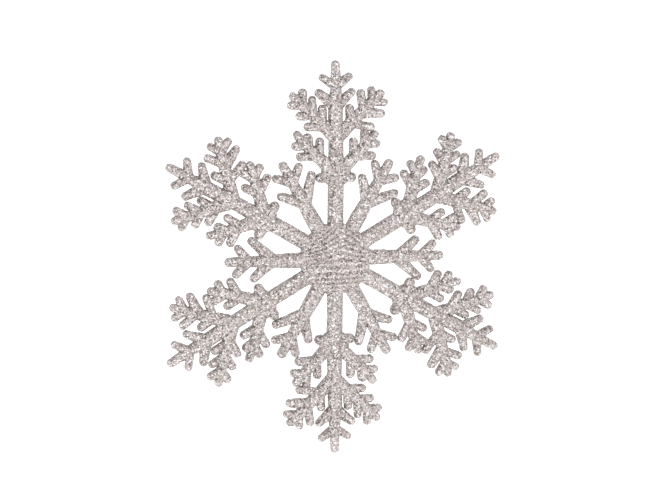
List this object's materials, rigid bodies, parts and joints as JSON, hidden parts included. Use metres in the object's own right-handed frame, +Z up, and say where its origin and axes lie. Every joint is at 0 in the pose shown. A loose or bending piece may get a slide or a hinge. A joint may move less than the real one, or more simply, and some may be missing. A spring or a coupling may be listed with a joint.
{
  "type": "snowflake ornament",
  "caption": "Flat six-fold snowflake ornament in plastic with a silver glitter coat; long branched arms and short forked arms plug into a many-sided hub.",
  "frame": {"origin": "middle of the hub, which is the middle of the whole ornament", "axes": "+Z up along the first long arm, -Y out of the front face towards the viewer, +X to the viewer's right"},
  "size_m": [0.087, 0.005, 0.1],
  "materials": {
    "hub_glitter": "clear plastic under a coat of fine silver glitter",
    "arm_glitter": "clear plastic under a coat of fine silver glitter"
  },
  "bodies": {
    "root": {"hub": "hub_glitter", "long_arm_1": "arm_glitter", "long_arm_2": "arm_glitter", "long_arm_3": "arm_glitter", "long_arm_4": "arm_glitter", "long_arm_5": "arm_glitter", "long_arm_6": "arm_glitter", "short_arm_1": "arm_glitter", "short_arm_2": "arm_glitter", "short_arm_3": "arm_glitter", "short_arm_4": "arm_glitter", "short_arm_5": "arm_glitter", "short_arm_6": "arm_glitter"}
  },
  "joints": []
}
